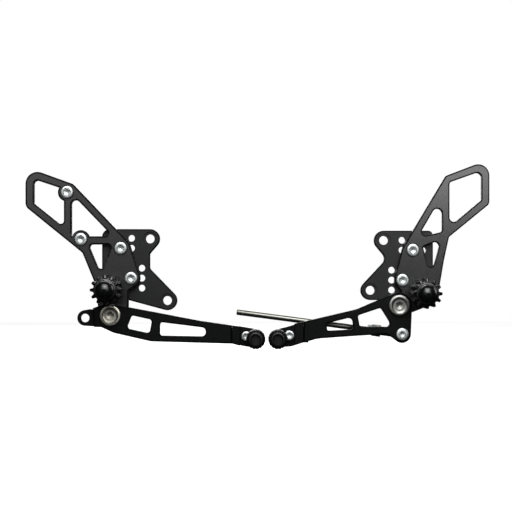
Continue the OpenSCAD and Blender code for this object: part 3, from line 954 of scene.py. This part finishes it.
@dataclass
class Studio:
    """White floor and world, dark walls for the reflections, soft lights and the camera.

    Attributes:
        distance: from the side plates' front face to the camera, in metres.
        field_mm: width of the picture in the plane of that face.
        axis: where the camera's axis meets that face.
        sensor_mm: width of the camera's sensor.
        floor_drop_mm: from the lowest point at rest to the floor, a little more than a pedal's travel.
    """

    distance: float = 2.5
    field_mm: float = 522.24
    axis: Vector = field(default_factory=lambda: Vector((0.0996, -0.020, 0.01405)))
    sensor_mm: float = 36.0
    floor_drop_mm: float = 55.0

    def camera(self) -> None:
        """Adds the camera, which looks along +Y."""
        data = bpy.data.cameras.new("camera")
        data.sensor_width = self.sensor_mm
        data.lens = self.sensor_mm * self.distance / (self.field_mm * MM)
        data.clip_end = 50
        eye = bpy.data.objects.new("camera", data)
        eye.location = self.axis - Vector((0, self.distance, 0))
        eye.rotation_euler = (math.radians(90), 0, 0)
        bpy.context.scene.collection.objects.link(eye)
        bpy.context.scene.camera = eye

    def softbox(self, lamp: Softbox) -> None:
        """Adds a rectangular light that faces the object.

        Args:
            lamp: its name, place, size and power.
        """
        data = bpy.data.lights.new(lamp.name, "AREA")
        data.shape = "RECTANGLE"
        data.size, data.size_y = lamp.size
        data.energy = lamp.watts
        light = bpy.data.objects.new(lamp.name, data)
        place = Vector(lamp.place)
        light.location = place
        light.rotation_euler = (self.axis - place).to_track_quat("-Z", "Y").to_euler()
        light.visible_camera = False
        bpy.context.scene.collection.objects.link(light)

    def walls(self) -> None:
        """Builds the dark room round the set, which only glossy rays see, so that chamfers stay dark."""
        deselect()
        bpy.ops.mesh.primitive_cube_add(size=1, location=(self.axis.x, -0.7, 1.0), scale=(7, 7, 6))
        walls = bpy.context.object
        walls.name = "studio walls"
        material = bpy.data.materials.new("black painted wall")
        material.use_nodes = True
        tree = material.node_tree
        tree.nodes.clear()
        paint = add_node(tree, "ShaderNodeEmission", {"Color": linear("#161616"), "Strength": 1.0})
        add_node(tree, "ShaderNodeOutputMaterial", {}, {"Surface": paint.outputs["Emission"]})
        walls.data.materials.append(material)
        for ray in ("camera", "diffuse", "transmission", "volume_scatter", "shadow"):
            setattr(walls, f"visible_{ray}", False)

    def world(self, room: float) -> None:
        """Makes the world white to the eye, and a soft light elsewhere.

        Its glossy branch is white too, but the walls stand before it, so reflections show the walls.

        Args:
            room: strength of the light that it gives.
        """
        world = bpy.data.worlds.new("studio")
        bpy.context.scene.world = world
        world.use_nodes = True
        tree = world.node_tree
        tree.nodes.clear()
        ray = add_node(tree, "ShaderNodeLightPath")
        seen = add_node(
            tree,
            "ShaderNodeMath",
            {".operation": "MAXIMUM"},
            {0: ray.outputs["Is Camera Ray"], 1: ray.outputs["Is Glossy Ray"]},
        )
        shown = add_node(
            tree,
            "ShaderNodeMath",
            {".operation": "MAXIMUM"},
            {0: seen.outputs["Value"], 1: ray.outputs["Is Transmission Ray"]},
        )
        strength = add_node(
            tree, "ShaderNodeMapRange", {"To Min": room, "To Max": 1.0}, {"Value": shown.outputs["Value"]}
        )
        back = add_node(
            tree,
            "ShaderNodeBackground",
            {"Color": linear("#ffffff")},
            {"Strength": strength.outputs["Result"]},
        )
        add_node(tree, "ShaderNodeOutputWorld", {}, {"Surface": back.outputs["Background"]})

    def floor(self) -> None:
        """Lays the plain white floor below the reach of the pressed levers; reflections don't show it."""
        low, high = CAD_BOX
        deselect()
        place = ((low.x + high.x) / 2, 0, low.z - self.floor_drop_mm * MM)
        bpy.ops.mesh.primitive_plane_add(size=6, location=place)
        floor = bpy.context.object
        floor.name = "floor"
        material = bpy.data.materials.new("white paper")
        material.use_nodes = True
        tree = material.node_tree
        shader = tree.nodes["Principled BSDF"]
        shader.inputs["Base Color"].default_value = linear("#aaaaaa")
        shader.inputs["Roughness"].default_value = 0.9
        ray = add_node(tree, "ShaderNodeLightPath")
        glow = add_node(tree, "ShaderNodeEmission", {"Color": linear("#ffffff"), "Strength": 0.8})
        lit = add_node(
            tree, "ShaderNodeAddShader", {}, {0: shader.outputs["BSDF"], 1: glow.outputs["Emission"]}
        )
        mix = add_node(
            tree,
            "ShaderNodeMixShader",
            {},
            {0: ray.outputs["Is Camera Ray"], 1: shader.outputs["BSDF"], 2: lit.outputs["Shader"]},
        )
        tree.links.new(mix.outputs["Shader"], tree.nodes["Material Output"].inputs["Surface"])
        floor.data.materials.append(material)
        floor.visible_glossy = False

    def build(self) -> None:
        """Builds the studio."""
        self.floor()
        self.walls()
        self.world(0.2)
        for lamp in SOFTBOXES:
            self.softbox(lamp)
        self.camera()
        bpy.context.scene.view_settings.view_transform = "Standard"


def main() -> None:
    """Builds and dresses the two halves, the linkage and the studio."""
    logging.basicConfig(level=logging.INFO, format="%(name)s: %(message)s")
    deselect()
    # Both pivot bolts are the same stainless; the shift bolt's colours below are darker, as painted shade
    # for its weaker reflection
    Half(Side.BRAKE, Body.BRAKE_LEVER, False, ("#e8e5d7", "#c6c3b5"), 1.7).dress()
    CapScrews("brake_cylinder_bolts", Body.ROOT, 2, False, (12.8, 8.0), 6.0, 8.0).dress()
    Half(Side.SHIFT, Body.SHIFT_LEVER, True, ("#a0a19d", "#82837f"), 1.4).dress()
    ShiftLinkage().dress()
    Studio().build()


if __name__ == "__main__":
    main()
